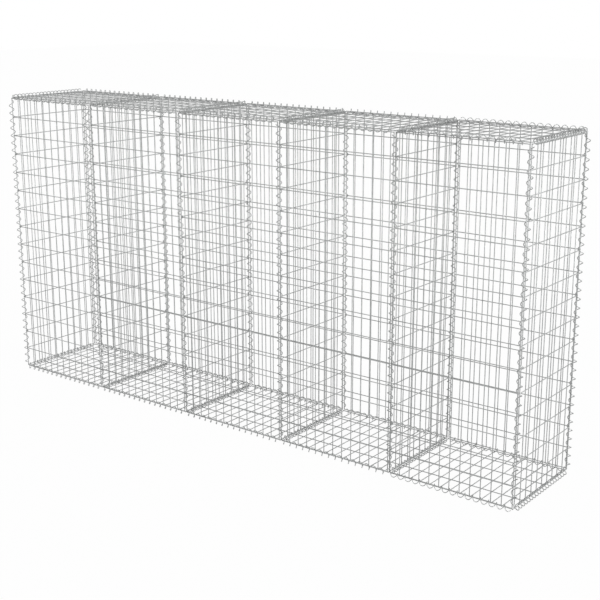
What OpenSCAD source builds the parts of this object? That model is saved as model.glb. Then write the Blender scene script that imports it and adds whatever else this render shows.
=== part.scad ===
// Gabion wall: an empty welded-mesh basket wall of several bays.
// Every panel is a flat wire mesh. Spiral binders lace the panels together along each edge.
// In the covers each wire is a solid of its own, so that collision stays open between them.
// The wall stands on its lowest binders. X runs along the wall, Y from front to back, Z up.
// The sizes of a bay are those of its panels, measured between their edge wires.

/* [Wall] */
// Number of bays in a row
bay_count = 5; // [1:1:6]
// Length of one bay's panels
bay_l = 600; // [300:10:1000]
// Depth of the end panels and dividers
wall_d = 500; // [300:10:1000]
// Height of the upright panels
wall_h = 1500; // [300:10:2000]

/* [Mesh] */
// Diameter of the mesh wire
wire_d = 4; // [3:0.1:5]
// Spacing of the upright wires, and of the wires that cross the base and the covers
mesh_narrow = 50; // [50:5:100]
// Spacing of the level wires, and of the long wires of the base and the covers
mesh_wide = 100; // [50:5:150]
// Distance from a panel's edge wire to the corner line that its binder runs along
edge_inset = 6.5; // [6:0.5:9]

/* [Binders] */
// Diameter of the binder wire
binder_wire_d = 3.5; // [2.5:0.1:4]
// Gap between the binders and the edge wires that they turn around
binder_fit = 0.3; // [0.3:0.1:1]
// Rise in one turn of an upright binder, in spacings of the level wires
up_ratio = 0.4; // [0.3:0.05:0.5]
// Advance in one turn of a binder along the wall, in spacings of the upright wires
long_ratio = 0.75; // [0.5:0.05:1]
// Advance in one turn of a binder from front to back, in the same spacings
cross_ratio = 0.5; // [0.5:0.05:1]
// Free space around the ends of the binders that meet at a corner
corner_gap = 1; // [1:0.5:10]

/* [Hidden] */
zinc = [0.62, 0.64, 0.63];
// Computed sizes are kept to a hundredth of a millimetre, so that wire ends meet flush
hundredth = 0.01;
function hundredths(size) = round(size / hundredth) * hundredth;
// Square bars with the section area of the round wire, so that the mesh weighs what it should
bar = hundredths(wire_d * sqrt(PI) / 2);

// Distances between the corner lines that the binders run along
bay_pitch = bay_l + 2 * edge_inset;
depth = wall_d + 2 * edge_inset;
height = wall_h + 2 * edge_inset;

function cells(span, spacing) = max(1, round(span / spacing));
pitch_up = up_ratio * wall_h / cells(wall_h, mesh_wide);
pitch_long = long_ratio * bay_l / cells(bay_l, mesh_narrow);
pitch_cross = cross_ratio * wall_d / cells(wall_d, mesh_narrow);

// The half turns of a spiral lean, which narrows it across one diagonal. Its radius still keeps
// the fit around the far corners of the edge bars inside it.
far_corner = [edge_inset + bar / 2, bar / 2];
inner_sq = pow(norm(far_corner) + binder_fit + binder_wire_d / 2, 2);
skew = sin(2 * atan2(far_corner.y, far_corner.x));
function spiral_r(pitch) =
  let (lean = pow(pitch / 4, 2) / 2)
  sqrt(inner_sq / 2 + sqrt(pow(inner_sq / 2, 2) + lean * (lean + inner_sq * skew)));
function reach(pitch) = spiral_r(pitch) + binder_wire_d / 2;
// One half turn is this much thinner than the next, so that their ends meet face to face
half_step = 0.2;

base_z = hundredths(max(reach(pitch_long), reach(pitch_cross)));
cover_z = base_z + height;
front_y = -depth / 2;
back_y = depth / 2;
end_clear = corner_gap + binder_wire_d / 2;
corner_clear = max(reach(pitch_up), base_z) + end_clear;

SIDES = ["front", "back"];

// Station i stands between bay i and bay i + 1, counted from the left end as 0
function station_x(i) = (i - bay_count / 2) * bay_pitch;

// Places of the wires across a panel, measured from a corner line: they are evenly spaced
function wire_places(span, spacing) =
  let (last = cells(span, spacing))
  [for (k = [0:last]) edge_inset + k * span / last];

// A flat mesh in the XY plane, with the meeting point of two corner lines at the origin
module mesh(size, spacing) {
  middle = size / 2 + edge_inset * [1, 1];
  color(zinc)
    linear_extrude(bar, center = true) {
      for (x = wire_places(size.x, spacing.x))
        translate([x, middle.y])
          square([bar, size.y + bar], center = true);
      for (y = wire_places(size.y, spacing.y))
        translate([middle.x, y])
          square([size.x + bar, bar], center = true);
    }
}

module long_panel(i, y)
  translate([station_x(i - 1), y, base_z])
    rotate([90, 0, 0])
      mesh([bay_l, wall_h], [mesh_narrow, mesh_wide]);

module cross_panel(station)
  translate([station_x(station), front_y, base_z])
    rotate([90, 0, 90])
      mesh([wall_d, wall_h], [mesh_narrow, mesh_wide]);

module base_panel(i)
  translate([station_x(i - 1), front_y, base_z])
    mesh([bay_l, wall_d], [mesh_narrow, mesh_wide]);

module cover_cross_wires(i)
  translate([station_x(i - 1), front_y, cover_z])
    color(zinc)
      for (x = wire_places(bay_l, mesh_narrow))
        translate([x, depth / 2, 0])
          cube([bar, wall_d + bar, bar], center = true);

// The long wires lie face to face under the cross wires
module cover_long_wires(i)
  translate([station_x(i - 1), front_y, cover_z])
    color(zinc)
      for (y = wire_places(wall_d, mesh_wide))
        translate([bay_pitch / 2, y, -bar])
          cube([bay_l + bar, bar, bar], center = true);

// Half turn i of a spiral along Z, right-hand where turn is 1 and left-hand where it is -1. Its ends
// lie in the plane y = 0, and the even halves bulge to +Y.
module half_turn(i, pitch, turn) {
  quarter = pitch / 4;
  end_r = sqrt(pow(spiral_r(pitch), 2) - quarter * quarter / 2);
  arc_r = norm([end_r, quarter]);
  side = i % 2;
  translate([0, 0, (2 * i + 1) * quarter])
    rotate([0, 0, 180 * side])
      rotate([0, turn * atan(quarter / end_r), 0])
        rotate_extrude(angle = 180, $fn = 48)
          translate([arc_r, 0])
            circle(d = binder_wire_d - half_step * side, $fn = 16);
}

// A spiral along Z from one corner to the next, that bulges towards the angle out. It starts at
// least clear from the corner, and an odd number of quarter turns from the first wire that crosses
// its path, which keeps its turns between those wires.
module binder(length, pitch, clear, out, turn) {
  skipped = max(0, ceil(2 * (clear - edge_inset) / pitch - 1 / 2));
  start = edge_inset + pitch / 4 + skipped * pitch / 2;
  halves = floor(2 * (length - 2 * start) / pitch);
  color(zinc)
    translate([0, 0, start])
      rotate([0, 0, out - 90])
        for (i = [0:halves - 1])
          half_turn(i, pitch, turn);
}

// Side of the middle, -1 or 1, that a station belongs to
function side_of(station) = station < bay_count / 2 ? -1 : 1;

// Turn of the binders of a bay or a station: those of the last ones are the others' mirror image.
// The binders of the base mirror those of the cover too.
function turn(place) = place < bay_count ? 1 : -1;

module upright_binders(y)
  for (station = [0:bay_count])
    translate([station_x(station), y, base_z])
      binder(height, pitch_up, corner_clear, atan2(sign(y), side_of(station)), turn(station));

module long_binders(y, z, up)
  for (i = [1:bay_count])
    translate([station_x(i - 1), y, z])
      rotate([0, 90, 0])
        binder(bay_pitch, pitch_long, end_clear, atan2(up, sign(y)) + 90, up * turn(i));

module cross_binders(z, up)
  for (station = [0:bay_count])
    translate([station_x(station), front_y, z])
      rotate([-90, 0, 0])
        binder(depth, pitch_cross, corner_clear, atan2(-up, side_of(station)), up * turn(station));

for (i = [1:bay_count]) {
  long_panel(i, front_y);
  long_panel(i, back_y);
  base_panel(i);
  cover_cross_wires(i);
  cover_long_wires(i);
}
for (i = [1:1:bay_count - 1])
  cross_panel(i);
cross_panel(0);  // left_end_panel
cross_panel(bay_count);  // right_end_panel
upright_binders(front_y);  // front_binders
upright_binders(back_y);  // back_binders
long_binders(front_y, base_z, -1);  // base_front_binders
long_binders(back_y, base_z, -1);  // base_back_binders
long_binders(front_y, cover_z, 1);  // cover_front_binders
long_binders(back_y, cover_z, 1);  // cover_back_binders
cross_binders(base_z, -1);  // base_cross_binders
cross_binders(cover_z, 1);  // cover_cross_binders
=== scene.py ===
import math
import random

import bpy
import numpy as np
from mathutils import Matrix, Vector


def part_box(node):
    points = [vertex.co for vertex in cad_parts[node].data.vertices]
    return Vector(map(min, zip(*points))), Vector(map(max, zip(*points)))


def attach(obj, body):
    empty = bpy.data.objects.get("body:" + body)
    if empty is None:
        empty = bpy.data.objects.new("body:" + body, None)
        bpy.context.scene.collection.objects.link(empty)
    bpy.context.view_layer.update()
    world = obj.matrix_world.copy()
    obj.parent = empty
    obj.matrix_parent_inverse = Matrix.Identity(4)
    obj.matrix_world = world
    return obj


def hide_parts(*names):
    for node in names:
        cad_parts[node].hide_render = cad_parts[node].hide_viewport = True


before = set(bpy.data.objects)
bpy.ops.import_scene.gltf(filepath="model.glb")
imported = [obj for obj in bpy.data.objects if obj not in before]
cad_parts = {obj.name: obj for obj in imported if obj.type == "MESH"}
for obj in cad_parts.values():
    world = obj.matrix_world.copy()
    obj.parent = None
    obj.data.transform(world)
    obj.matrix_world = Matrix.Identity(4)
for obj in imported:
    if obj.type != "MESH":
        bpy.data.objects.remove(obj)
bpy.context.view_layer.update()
rng = random.Random(41)
print("frame loaded,", len(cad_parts), "nodes")


def middle(node):
    low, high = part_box(node)
    return (low + high) / 2


bays = 5
crossNodes = ["left_end_panel", *[f"divider_{i}" for i in range(1, bays)], "right_end_panel"]
stations = [middle(node).x for node in crossNodes]  # where the end panels and the dividers stand
frontY, backY = middle("front_panel_1").y, middle("back_panel_1").y
baseZ, coverZ = middle("base_panel_1").z, middle("cover_cross_wires_1").z
bayLong, wallDeep, wallHigh = stations[1] - stations[0], backY - frontY, coverZ - baseZ
eastward, westward, northward, upward = (1, 0, 0), (-1, 0, 0), (0, 1, 0), (0, 0, 1)


class Wired:  # one output of a node, ready for sums
    def __init__(self, bench, made, output):
        self.bench, self.made, self.output = bench, made, output

    def at(self, output):  # another output of the same node
        return Wired(self.bench, self.made, output)

    def maths(self, operation, *values):
        return self.bench.node("ShaderNodeMath", {"operation": operation}, dict(enumerate(values)))

    def __add__(self, other):
        return self.maths("ADD", self, other)

    def __sub__(self, other):
        return self.maths("SUBTRACT", self, other)

    def __mul__(self, other):
        return self.maths("MULTIPLY", self, other)

    def __radd__(self, other):
        return self.maths("ADD", other, self)

    def __rsub__(self, other):
        return self.maths("SUBTRACT", other, self)

    def __rmul__(self, other):
        return self.maths("MULTIPLY", other, self)


class Bench:  # the nodes of one material or world
    def __init__(self, owner):
        self.owner = owner
        owner.use_nodes = True
        self.tree = owner.node_tree
        self.tree.nodes.clear()

    def node(self, kind, settings=None, sockets=None, output=0):
        made = self.tree.nodes.new(kind)
        for key, value in (settings or {}).items():
            if key == "stops":
                for element, (place, level) in zip(made.color_ramp.elements, value):
                    element.position, element.color = place, (level, level, level, 1)
            else:
                setattr(made, key, value)
        for key, value in (sockets or {}).items():
            if isinstance(value, Wired):
                self.tree.links.new(value.made.outputs[value.output], made.inputs[key])
            else:
                made.inputs[key].default_value = value
        return Wired(self, made, output)

    def noise(self, place, scale, detail=3.0, roughness=0.55):
        return self.node("ShaderNodeTexNoise", None,
                         {"Vector": place, "Scale": scale, "Detail": detail, "Roughness": roughness})

    def stretch(self, place, factors):
        return self.node("ShaderNodeVectorMath", {"operation": "MULTIPLY"}, {0: place, 1: factors})

    def rise(self, value, edges):  # 0 below the first edge, 1 above the second
        return self.node("ShaderNodeValToRGB", {"stops": ((edges[0], 0), (edges[1], 1))}, {0: value})

    def blend(self, factor, first, second):  # 6, 7 and output 2 are a Mix node's colours
        return self.node("ShaderNodeMix", {"data_type": "RGBA"}, {0: factor, 6: first, 7: second}, 2)

    def finish(self, kind, shader):
        self.node(kind, None, {"Surface": shader})
        return self.owner


zincMake = {  # what all the zinc finishes share
    "clouds": {"edges": (0.35, 0.65), "shade": 0.5, "roughness": 0.1},
    "dieLines": {"scale": 900.0, "stretch": (1.0, 1.0, 0.03), "detail": 2.0,
                 "shade": 0.25, "roughness": 0.06, "height": 0.55},
    "spangle": {"shade": 0.2},
    "bloom": {"scale": 23.0, "detail": 5.0, "grain": 0.62, "edges": (0.56, 0.72),
              "cover": 0.35, "roughness": 0.16, "dulls": 0.25, "height": 0.3},  # white zinc bloom
    "grit": {"scale": 2600.0, "detail": 2.0, "height": 0.25},
    "bumpStrength": 0.5,
}


def zincFinish(name, look):
    cloudMake, lineMake = zincMake["clouds"], zincMake["dieLines"]
    bloomMake, gritMake = zincMake["bloom"], zincMake["grit"]
    bench = Bench(bpy.data.materials.new(name))
    place = bench.node("ShaderNodeTexCoord", output="Object")  # in metres
    # a point's place in its own wire: two distances across it and one along it
    along = bench.node("ShaderNodeAttribute", {"attribute_name": "wireRun"}, output="Vector")
    tone = bench.node("ShaderNodeAttribute", {"attribute_name": "wireTone"}, output="Fac")
    clouds = bench.rise(bench.noise(place, look["cloudScale"]), cloudMake["edges"])
    drawn = bench.noise(bench.stretch(along, lineMake["stretch"]), lineMake["scale"], lineMake["detail"])
    spangle = bench.node("ShaderNodeTexVoronoi", {"feature": "F1"},
                         {"Vector": place, "Scale": look["spangleScale"]})
    bloom = bench.rise(bench.noise(place, bloomMake["scale"], bloomMake["detail"], bloomMake["grain"]),
                       bloomMake["edges"])
    grit = bench.noise(place, gritMake["scale"], gritMake["detail"])
    shade = (cloudMake["shade"] * clouds + lineMake["shade"] * drawn
             + zincMake["spangle"]["shade"] * spangle + look["toneShare"] * tone)
    colour = bench.blend(shade, (*look["dull"], 1), (*look["bright"], 1))
    colour = bench.blend(bloomMake["cover"] * bloom, colour, (*look["bloom"], 1))
    roughness = (look["roughness"] + cloudMake["roughness"] * clouds
                 + bloomMake["roughness"] * bloom + lineMake["roughness"] * drawn)
    height = lineMake["height"] * drawn + gritMake["height"] * grit + bloomMake["height"] * bloom
    bump = bench.node("ShaderNodeBump", None, {
        "Strength": zincMake["bumpStrength"], "Distance": look["bumpDepth"], "Height": height})
    shader = bench.node("ShaderNodeBsdfPrincipled", None, {
        "Base Color": colour, "Metallic": look["metallic"] - bloomMake["dulls"] * bloom,
        "Roughness": roughness, "Normal": bump})
    return bench.finish("ShaderNodeOutputMaterial", shader)


meshZinc = zincFinish("galvanisedMeshWire", {
    "dull": (0.262, 0.27, 0.268), "bright": (0.466, 0.475, 0.473), "bloom": (0.57, 0.578, 0.577),
    "cloudScale": 42.0, "spangleScale": 620.0, "toneShare": 0.12,
    "metallic": 0.5, "roughness": 0.38, "bumpDepth": 0.00012})
binderZinc = zincFinish("galvanisedBinderWire", {
    "dull": (0.256, 0.264, 0.262), "bright": (0.449, 0.458, 0.456), "bloom": (0.556, 0.564, 0.563),
    "cloudScale": 55.0, "spangleScale": 700.0, "toneShare": 0.12,
    "metallic": 0.6, "roughness": 0.34, "bumpDepth": 0.0001})
weldZinc = zincFinish("weldedJointZinc", {
    "dull": (0.23, 0.236, 0.234), "bright": (0.406, 0.413, 0.412), "bloom": (0.524, 0.53, 0.528),
    "cloudScale": 260.0, "spangleScale": 900.0, "toneShare": 0.2,
    "metallic": 0.45, "roughness": 0.46, "bumpDepth": 0.0003})
print("finishes ready")


wireMake = {
    "chamfer": 0.22,                # of the wire's radius, at each cut end
    "aside": (0.31, 0.52, 0.79),    # no wire runs this way, so each ring of points can start from it
    "farthestStart": 40,            # metres, each wire's finish starts somewhere else
}
beadMake = {
    "wide": 0.0027, "thick": 0.0011,  # half its size
    "around": 8, "levels": (-0.62, 0.0, 0.62),  # rings of eight points, in shares of its thickness
    "wideSpread": (0.92, 1.1), "thickSpread": (0.9, 1.1), "dent": (0.93, 1.07),
    "spin": 0.4,                    # the most that it is turned, in radians
}
wireSlot, beadSlot = 0, 1           # places in a piece's list of finishes


class WirePiece:  # collects swept wires and weld beads, then makes one object of them
    def __init__(self, name, finishes):
        self.name, self.finishes = name, finishes
        self.points, self.faces, self.slots, self.runs, self.tones = [], [], [], [], []
        self.count = 0

    def add(self, points, faces, slot, runs, tone):
        self.points.append(points)
        self.faces += [[i + self.count for i in face] for face in faces]
        self.slots += [slot] * len(faces)
        self.runs.append(runs)
        self.tones.append(np.full(len(points), tone))
        self.count += len(points)

    def wire(self, path, radius, sides):
        # round wire along a path of points, with a small chamfer at each cut end
        path = np.asarray(path, float)
        chamfer = radius * wireMake["chamfer"]
        first, last = path[1] - path[0], path[-1] - path[-2]
        path = np.vstack([path[:1], path[:1] + first / np.linalg.norm(first) * chamfer, path[1:-1],
                          path[-1:] - last / np.linalg.norm(last) * chamfer, path[-1:]])
        girth = np.full(len(path), radius)
        girth[0] = girth[-1] = radius - chamfer
        tangents = np.gradient(path, axis=0)
        tangents /= np.linalg.norm(tangents, axis=1)[:, None]
        outward = np.cross(tangents[0], wireMake["aside"])
        outwards = []
        for tangent in tangents:  # carried along without twisting
            outward = outward - tangent * outward.dot(tangent)
            outward /= np.linalg.norm(outward)
            outwards.append(outward)
        outwards = np.array(outwards)
        sideways = np.cross(tangents, outwards)
        turn = np.arange(sides) * 2 * math.pi / sides
        cos, sin = np.cos(turn), np.sin(turn)
        rings = path[:, None] + girth[:, None, None] * (
            outwards[:, None] * cos[None, :, None] + sideways[:, None] * sin[None, :, None])
        length = np.concatenate([[0], np.cumsum(np.linalg.norm(np.diff(path, axis=0), axis=1))])
        runs = np.empty(rings.shape)
        runs[..., 0] = girth[:, None] * cos
        runs[..., 1] = girth[:, None] * sin
        runs[..., 2] = length[:, None] + rng.uniform(0, wireMake["farthestStart"])
        faces = []
        for i in range(len(path) - 1):
            for k in range(sides):
                a, b = i * sides + k, i * sides + (k + 1) % sides
                faces.append([a, b, b + sides, a + sides])
        end = (len(path) - 1) * sides
        faces.append(list(range(sides))[::-1])
        faces.append([end + k for k in range(sides)])
        self.add(rings.reshape(-1, 3), faces, wireSlot, runs.reshape(-1, 3), rng.random())

    def bead(self, centre, normal, across):
        # uneven squashed bead of weld metal in the crotch of two crossing wires
        around, levels = beadMake["around"], beadMake["levels"]
        third = np.cross(normal, across)
        wide = beadMake["wide"] * rng.uniform(*beadMake["wideSpread"])
        thick = beadMake["thick"] * rng.uniform(*beadMake["thickSpread"])
        spin = rng.uniform(0, beadMake["spin"])
        points = [centre - normal * thick]
        for level in levels:
            reach = wide * math.sqrt(1 - level * level)
            for k in range(around):
                a = spin + k * 2 * math.pi / around
                r = reach * rng.uniform(*beadMake["dent"])
                aside = across * math.cos(a) + third * math.sin(a)
                points.append(centre + normal * thick * level + r * aside)
        points.append(centre + normal * thick)
        faces = []
        for k in range(around):
            n = (k + 1) % around
            faces.append([0, 1 + n, 1 + k])
            for j in range(len(levels) - 1):
                a, b = 1 + j * around, 1 + (j + 1) * around
                faces.append([a + k, a + n, b + n, b + k])
            top = 1 + (len(levels) - 1) * around
            faces.append([top + k, top + n, top + around])
        points = np.array(points)
        self.add(points, faces, beadSlot, points - centre, rng.random())

    def build(self, slotName, *nodes):
        mesh = bpy.data.meshes.new(self.name)
        mesh.from_pydata(np.vstack(self.points).tolist(), [], self.faces)
        mesh.polygons.foreach_set("material_index", self.slots)
        mesh.polygons.foreach_set("use_smooth", [True] * len(self.faces))
        run = mesh.attributes.new("wireRun", "FLOAT_VECTOR", "POINT")
        run.data.foreach_set("vector", np.vstack(self.runs).astype(np.float32).ravel())
        tone = mesh.attributes.new("wireTone", "FLOAT", "POINT")
        tone.data.foreach_set("value", np.concatenate(self.tones).astype(np.float32))
        for finish in self.finishes:
            mesh.materials.append(finish)
        mesh.set_sharp_from_angle(angle=math.radians(50))
        piece = bpy.data.objects.new(self.name, mesh)
        bpy.context.scene.collection.objects.link(piece)
        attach(piece, "root")
        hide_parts(*nodes)


panelMake = {
    "wireRadius": 0.002,
    "sides": 12,
    "edgeInset": 0.0065,   # edge wire to the corner line
    "narrow": 0.05, "wide": 0.1,
    "layerGap": 0.0006,    # middle of a panel to each of its layers of wire, welded into each other
}


def places(span, spacing):  # of the wires across a panel, evenly spaced between its edge wires
    inset = panelMake["edgeInset"]
    count = round((span - 2 * inset) / spacing)
    return [inset + k * (span - 2 * inset) / count for k in range(count + 1)]


def meshPanel(name, nodes, corner, acrossDir, upDir, size, spacings):
    # acrossDir and upDir run along the panel, and their cross product points out of it to the side
    # where the wires along acrossDir lie
    piece = WirePiece(name, [meshZinc, weldZinc])
    corner, acrossDir, upDir = (np.array(v, float) for v in (corner, acrossDir, upDir))
    normal = np.cross(acrossDir, upDir)
    radius, sides, gap = panelMake["wireRadius"], panelMake["sides"], panelMake["layerGap"]
    uprights, levels = places(size[0], spacings[0]), places(size[1], spacings[1])
    reach = panelMake["edgeInset"] - radius
    for u in uprights:
        start = corner + acrossDir * u - normal * gap
        stops = (reach, size[1] / 2, size[1] - reach)
        piece.wire([start + upDir * stop for stop in stops], radius, sides)
    for v in levels:
        start = corner + upDir * v + normal * gap
        stops = (reach, size[0] / 2, size[0] - reach)
        piece.wire([start + acrossDir * stop for stop in stops], radius, sides)
    for u in uprights:
        for v in levels:
            piece.bead(corner + acrossDir * u + upDir * v, normal, acrossDir)
    piece.build("mesh_wire", *nodes)


spacings = (panelMake["narrow"], panelMake["wide"])
for i in range(bays):
    x, k = stations[i], i + 1
    meshPanel(f"frontMesh{k}", [f"front_panel_{k}"], (x, frontY, baseZ), eastward, upward,
              (bayLong, wallHigh), spacings)
    meshPanel(f"backMesh{k}", [f"back_panel_{k}"], (x + bayLong, backY, baseZ), westward, upward,
              (bayLong, wallHigh), spacings)
    meshPanel(f"baseMesh{k}", [f"base_panel_{k}"], (x, frontY, baseZ), eastward, northward,
              (bayLong, wallDeep), spacings)
    meshPanel(f"coverMesh{k}", [f"cover_cross_wires_{k}", f"cover_long_wires_{k}"],
              (x, frontY, coverZ - panelMake["layerGap"]), eastward, northward,
              (bayLong, wallDeep), spacings)
crossNames = ["leftEndMesh", *[f"dividerMesh{i}" for i in range(1, bays)], "rightEndMesh"]
for x, node, name in zip(stations, crossNodes, crossNames):
    meshPanel(name, [node], (x, frontY, baseZ), northward, upward, (wallDeep, wallHigh), spacings)
print("mesh panels made")


binderMake = {
    "wireRadius": 0.00175,
    "sides": 8,
    "stepsPerTurn": 22,
    "upPitch": 0.04, "longPitch": 0.0375, "crossPitch": 0.025,
    # from the corner that a spiral runs from
    "upStart": 0.0165, "longStart": 0.015875, "crossStart": 0.02525,
}
binderReach = baseZ - binderMake["wireRadius"]  # the lowest turns rest on the floor


def spiral(piece, start, axis, first, length, pitch, bulge, turn):
    # along axis from a quarter turn before it bulges to the angle bulge, which is measured from first,
    # right-hand where turn is 1 and left-hand where it is -1
    axis, first = np.array(axis, float), np.array(first, float)
    second = np.cross(axis, first)
    steps = round(length / pitch * binderMake["stepsPerTurn"])
    run = np.linspace(0, length, steps + 1)
    angle = math.radians(bulge) + turn * (run / pitch - 0.25) * 2 * math.pi
    path = np.array(start, float) + axis * run[:, None] + binderReach * (
        first * np.cos(angle)[:, None] + second * np.sin(angle)[:, None])
    piece.wire(path, binderMake["wireRadius"], binderMake["sides"])


def sideOf(station):  # side of the middle, -1 or 1, that a station belongs to
    return -1 if station < bays / 2 else 1


def turnOf(place):  # the last bay's binders, and those at the right end, are the others' mirror image
    return 1 if place < bays else -1


def uprightBinder(name, node, station, y):
    piece = WirePiece(name, [binderZinc])
    first = binderMake["upStart"]
    bulge = math.degrees(math.atan2(math.copysign(1, y), sideOf(station)))
    spiral(piece, (stations[station], y, baseZ + first), upward, eastward, wallHigh - 2 * first,
           binderMake["upPitch"], bulge, turnOf(station))
    piece.build("binder_wire", node)


def longBinders(name, node, y, z, up):  # up is 1 for the cover's binders and -1 for the base's
    piece = WirePiece(name, [binderZinc])
    first = binderMake["longStart"]
    bulge = math.degrees(math.atan2(up, math.copysign(1, y)))
    for i in range(bays):
        spiral(piece, (stations[i] + first, y, z), eastward, northward, bayLong - 2 * first,
               binderMake["longPitch"], bulge, up * turnOf(i + 1))
    piece.build("binder_wire", node)


def crossBinders(name, node, z, up):
    piece = WirePiece(name, [binderZinc])
    first = binderMake["crossStart"]
    for station in range(bays + 1):
        bulge = math.degrees(math.atan2(-up, sideOf(station)))
        spiral(piece, (stations[station], frontY + first, z), northward, eastward, wallDeep - 2 * first,
               binderMake["crossPitch"], bulge, up * turnOf(station))
    piece.build("binder_wire", node)


for i in range(bays + 1):
    uprightBinder(f"frontBinder{i + 1}", "front_binders", i, frontY)
    uprightBinder(f"backBinder{i + 1}", "back_binders", i, backY)
longBinders("baseFrontBinders", "base_front_binders", frontY, baseZ, -1)
longBinders("baseBackBinders", "base_back_binders", backY, baseZ, -1)
longBinders("coverFrontBinders", "cover_front_binders", frontY, coverZ, 1)
longBinders("coverBackBinders", "cover_back_binders", backY, coverZ, 1)
crossBinders("baseCrossBinders", "base_cross_binders", baseZ, -1)
crossBinders("coverCrossBinders", "cover_cross_binders", coverZ, 1)
print("binders made")


stageMake = {
    "floorSize": 60.0, "floorColour": (0.95, 0.95, 0.95),
    "whiteShare": 0.97,    # of the floor as seen, the rest takes light and shadow
    "soft": 0.5,           # light from the surroundings
}


def plainlySeen(bench):  # 1 where the camera looks, in gloss and through glass
    rays = bench.node("ShaderNodeLightPath", output="Is Camera Ray")
    either = rays.maths("MAXIMUM", rays, rays.at("Is Glossy Ray"))
    return rays.maths("MAXIMUM", either, rays.at("Is Transmission Ray"))


def paleFloor():
    bench = Bench(bpy.data.materials.new("paleFloor"))
    plain = bench.node("ShaderNodeBsdfDiffuse", None, {"Color": (*stageMake["floorColour"], 1)})
    white = bench.node("ShaderNodeEmission", None, {"Color": (1, 1, 1, 1), "Strength": 1.0})
    seen = bench.node("ShaderNodeMixShader", None, {
        0: stageMake["whiteShare"] * plainlySeen(bench), 1: plain, 2: white})
    half = stageMake["floorSize"] / 2
    corners = [(-half, -half, 0), (half, -half, 0), (half, half, 0), (-half, half, 0)]
    mesh = bpy.data.meshes.new("floor")
    mesh.from_pydata(corners, [], [(0, 1, 2, 3)])
    mesh.materials.append(bench.finish("ShaderNodeOutputMaterial", seen))
    floor = bpy.data.objects.new("floor", mesh)
    bpy.context.scene.collection.objects.link(floor)


def studioWorld():
    studio = Bench(bpy.data.worlds.new("studio"))
    soft = studio.node("ShaderNodeBackground", None,
                       {"Color": (1, 1, 1, 1), "Strength": stageMake["soft"]})
    white = studio.node("ShaderNodeBackground", None, {"Color": (1, 1, 1, 1), "Strength": 1.0})
    seen = studio.node("ShaderNodeMixShader", None, {0: plainlySeen(studio), 1: soft, 2: white})
    bpy.context.scene.world = studio.finish("ShaderNodeOutputWorld", seen)


def turned(azimuth, elevation):  # direction from the wall, azimuth 0 is straight out of its front
    azimuth, elevation = math.radians(azimuth), math.radians(elevation)
    return Vector((math.sin(azimuth) * math.cos(elevation), -math.cos(azimuth) * math.cos(elevation),
                   math.sin(elevation)))


def farLamp(name, make):  # a soft lamp so far away that it lights the whole wall alike
    lamp = bpy.data.lights.new(name, "SUN")
    lamp.energy, lamp.angle = make["strength"], math.radians(make["spread"])
    holder = bpy.data.objects.new(name, lamp)
    holder.rotation_mode = "QUATERNION"
    holder.rotation_quaternion = turned(make["azimuth"], make["elevation"]).to_track_quat("Z", "Y")
    bpy.context.scene.collection.objects.link(holder)


paleFloor()
studioWorld()
farLamp("sideLamp", {"azimuth": 80, "elevation": 8, "strength": 3.3, "spread": 30})
farLamp("frontLamp", {"azimuth": -35, "elevation": 35, "strength": 0.3, "spread": 40})


cameraMake = {
    "azimuth": 37.351, "elevation": 14.439, "roll": 0.048,
    "place": (3.4671, -4.1920, 2.0725),  # measured from the base mesh
    "sensor": 36.0, "lens": 68.354, "shift": (-0.0113, -0.0286),
    "farthest": 100,
}
roll = math.radians(cameraMake["roll"])
backDir = turned(cameraMake["azimuth"], cameraMake["elevation"])
rightDir = Vector(upward).cross(backDir).normalized()
overDir = backDir.cross(rightDir)
rightTurned = math.cos(roll) * rightDir + math.sin(roll) * overDir
overTurned = math.cos(roll) * overDir - math.sin(roll) * rightDir
place = Vector(cameraMake["place"]) + Vector((0, 0, baseZ))
cameraData = bpy.data.cameras.new("camera")
cameraData.sensor_width = cameraMake["sensor"]
cameraData.lens = cameraMake["lens"]
cameraData.shift_x, cameraData.shift_y = cameraMake["shift"]
cameraData.clip_end = cameraMake["farthest"]
camera = bpy.data.objects.new("camera", cameraData)
camera.matrix_world = Matrix((
    (rightTurned.x, overTurned.x, backDir.x, place.x),
    (rightTurned.y, overTurned.y, backDir.y, place.y),
    (rightTurned.z, overTurned.z, backDir.z, place.z),
    (0, 0, 0, 1)))
bpy.context.scene.collection.objects.link(camera)
bpy.context.scene.camera = camera
bpy.context.scene.view_settings.view_transform = "Standard"
print("stage set")
